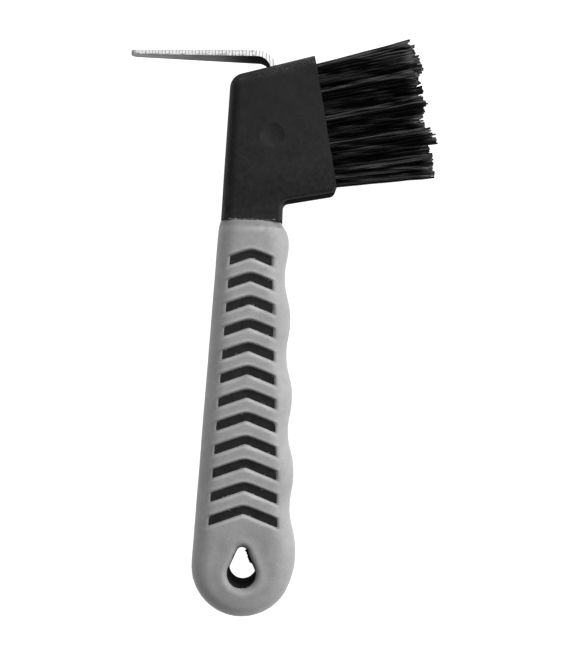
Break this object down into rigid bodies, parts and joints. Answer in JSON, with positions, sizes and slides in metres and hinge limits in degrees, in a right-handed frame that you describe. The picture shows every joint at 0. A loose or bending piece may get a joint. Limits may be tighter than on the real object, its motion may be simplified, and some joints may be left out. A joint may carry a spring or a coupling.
{
  "type": "hoof pick",
  "caption": "Hand-held hoof pick with a soft windowed grip, a bent flat steel pick and a stiff cleaning brush on its head.",
  "frame": {"origin": "middle of the object's outline as it lies on its side, at the level of the surface it lies on", "axes": "+Y up the handle from the hanging hole to the head, +X towards the bristles' side, +Z out of the side that faces up"},
  "size_m": [0.1006, 0.1902, 0.02],
  "materials": {
    "core": "moulded black plastic, fine satin grain",
    "sleeve": "soft matt grey rubber moulded over the shank",
    "pick": "bright plated steel strip with sheared edges",
    "bristle": "stiff black nylon filament",
    "anchor": "flat steel wire"
  },
  "bodies": {
    "root": {"handle_core": "core", "grip_sleeve": "sleeve", "pick": "pick", "bristle_tuft_lower_1": "bristle", "bristle_tuft_lower_2": "bristle", "bristle_tuft_lower_3": "bristle", "bristle_tuft_lower_4": "bristle", "bristle_tuft_lower_5": "bristle", "bristle_tuft_middle_1": "bristle", "bristle_tuft_middle_2": "bristle", "bristle_tuft_middle_3": "bristle", "bristle_tuft_middle_4": "bristle", "bristle_tuft_upper_1": "bristle", "bristle_tuft_upper_2": "bristle", "bristle_tuft_upper_3": "bristle", "bristle_tuft_upper_4": "bristle", "bristle_tuft_upper_5": "bristle", "tuft_anchor_lower_1": "anchor", "tuft_anchor_lower_2": "anchor", "tuft_anchor_lower_3": "anchor", "tuft_anchor_lower_4": "anchor", "tuft_anchor_lower_5": "anchor", "tuft_anchor_middle_1": "anchor", "tuft_anchor_middle_2": "anchor", "tuft_anchor_middle_3": "anchor", "tuft_anchor_middle_4": "anchor", "tuft_anchor_upper_1": "anchor", "tuft_anchor_upper_2": "anchor", "tuft_anchor_upper_3": "anchor", "tuft_anchor_upper_4": "anchor", "tuft_anchor_upper_5": "anchor"}
  },
  "joints": []
}
